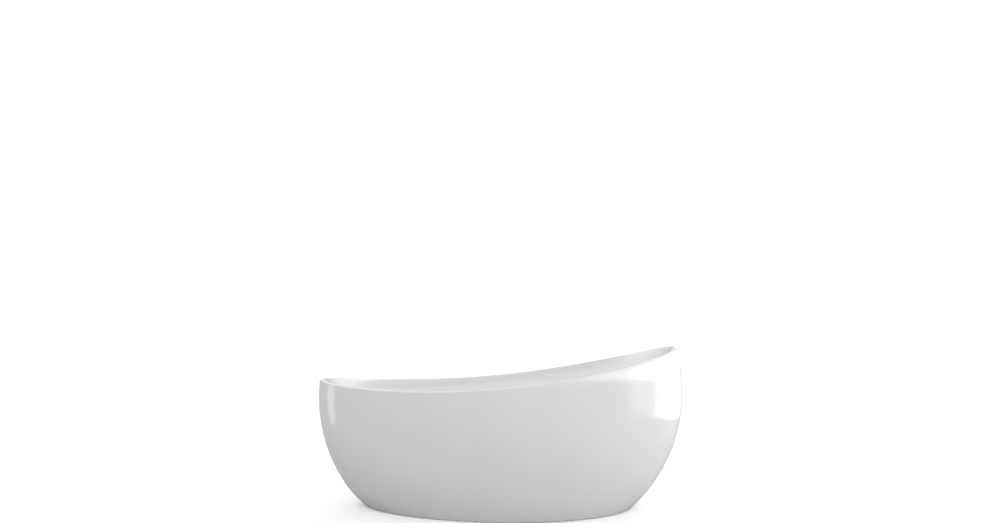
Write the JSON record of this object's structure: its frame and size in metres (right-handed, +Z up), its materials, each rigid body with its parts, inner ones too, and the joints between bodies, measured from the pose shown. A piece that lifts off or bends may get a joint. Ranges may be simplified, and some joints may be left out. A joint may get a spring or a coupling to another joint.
{
  "type": "freestanding bathtub",
  "caption": "Egg-shaped freestanding bathtub with a raised head end, flat egg floor, pop-up waste, rotary overflow, steel frame and levelling feet.",
  "frame": {"origin": "on the floor under the middle of the tub's length and width", "axes": "+X to the high head end, -X to the foot end with the waste and overflow, +Y to the left side seen from the foot end, +Z up"},
  "size_m": [1.9, 0.9498, 0.8],
  "materials": {
    "acrylic": "high gloss white sanitary acrylic",
    "base_board": "board sealed in glass-fibre resin",
    "zinc_steel": "zinc plated",
    "chrome": "polished chrome",
    "rubber": "matt black",
    "brass": "turned",
    "grey_plastic": "moulded polypropylene",
    "black_plastic": "moulded black"
  },
  "bodies": {
    "tub": {"inner_basin": "acrylic", "outer_shell": "acrylic", "base_board": "base_board", "long_rail_left": "zinc_steel", "long_rail_right": "zinc_steel", "waste_flange": "chrome", "waste_gasket": "rubber", "waste_body": "grey_plastic", "trap_seal": "rubber", "trap_nut": "black_plastic", "trap_cover": "grey_plastic", "trap_pot": "grey_plastic", "outlet_pipe": "grey_plastic", "outlet_nut": "black_plastic", "overflow_rosette": "chrome", "overflow_gasket": "rubber", "overflow_cup": "grey_plastic", "cable_cover": "black_plastic", "overflow_hose": "grey_plastic", "hose_clamp_bottom": "zinc_steel", "hose_clamp_top": "zinc_steel", "bowden_cable": "black_plastic", "cross_rail_foot_end": "zinc_steel", "cross_rail_middle": "zinc_steel", "cross_rail_head_end": "zinc_steel", "shell_strap_foot_end_left": "zinc_steel", "foot_nut_foot_end_left": "zinc_steel", "shell_strap_foot_end_right": "zinc_steel", "foot_nut_foot_end_right": "zinc_steel", "shell_strap_middle_left": "zinc_steel", "foot_nut_middle_left": "zinc_steel", "shell_strap_middle_right": "zinc_steel", "foot_nut_middle_right": "zinc_steel", "shell_strap_head_end_left": "zinc_steel", "foot_nut_head_end_left": "zinc_steel", "shell_strap_head_end_right": "zinc_steel", "foot_nut_head_end_right": "zinc_steel"},
    "knob": {"overflow_knob": "chrome", "knob_spindle": "brass", "cable_spool": "black_plastic"},
    "plug": {"waste_plug": "chrome", "plug_seal": "rubber", "plug_stem": "brass"},
    "lever": {"lift_lever": "zinc_steel"},
    "foot_foot_end_left": {"foot_pad_foot_end_left": "black_plastic", "foot_stud_foot_end_left": "zinc_steel"},
    "foot_foot_end_right": {"foot_pad_foot_end_right": "black_plastic", "foot_stud_foot_end_right": "zinc_steel"},
    "foot_middle_left": {"foot_pad_middle_left": "black_plastic", "foot_stud_middle_left": "zinc_steel"},
    "foot_middle_right": {"foot_pad_middle_right": "black_plastic", "foot_stud_middle_right": "zinc_steel"},
    "foot_head_end_left": {"foot_pad_head_end_left": "black_plastic", "foot_stud_head_end_left": "zinc_steel"},
    "foot_head_end_right": {"foot_pad_head_end_right": "black_plastic", "foot_stud_head_end_right": "zinc_steel"}
  },
  "joints": [
    {"name": "knob_turn", "type": "hinge", "parent": "tub", "child": "knob", "pos_m": [-0.78981, 0, 0.50987], "axis": [0.7976, 0, 0.6032], "range_deg": [0, 120]},
    {"name": "plug_lift", "type": "slide", "parent": "tub", "child": "plug", "axis": [0, 0, 1], "range_m": [0, 0.008]},
    {"name": "lever_swing", "type": "hinge", "parent": "tub", "child": "lever", "pos_m": [-0.399, 0, 0.08], "axis": [0, 1, 0], "range_deg": [0, 30]},
    {"name": "foot_height_foot_end_left", "type": "slide", "parent": "tub", "child": "foot_foot_end_left", "axis": [0, 0, -1], "range_m": [0, 0.02]},
    {"name": "foot_height_foot_end_right", "type": "slide", "parent": "tub", "child": "foot_foot_end_right", "axis": [0, 0, -1], "range_m": [0, 0.02]},
    {"name": "foot_height_middle_left", "type": "slide", "parent": "tub", "child": "foot_middle_left", "axis": [0, 0, -1], "range_m": [0, 0.02]},
    {"name": "foot_height_middle_right", "type": "slide", "parent": "tub", "child": "foot_middle_right", "axis": [0, 0, -1], "range_m": [0, 0.02]},
    {"name": "foot_height_head_end_left", "type": "slide", "parent": "tub", "child": "foot_head_end_left", "axis": [0, 0, -1], "range_m": [0, 0.02]},
    {"name": "foot_height_head_end_right", "type": "slide", "parent": "tub", "child": "foot_head_end_right", "axis": [0, 0, -1], "range_m": [0, 0.02]}
  ],
  "couplings": [
    {"joint": "plug_lift", "follows": "knob_turn", "m_per_rad": 0.0038},
    {"joint": "lever_swing", "follows": "knob_turn", "ratio": 0.249}
  ]
}
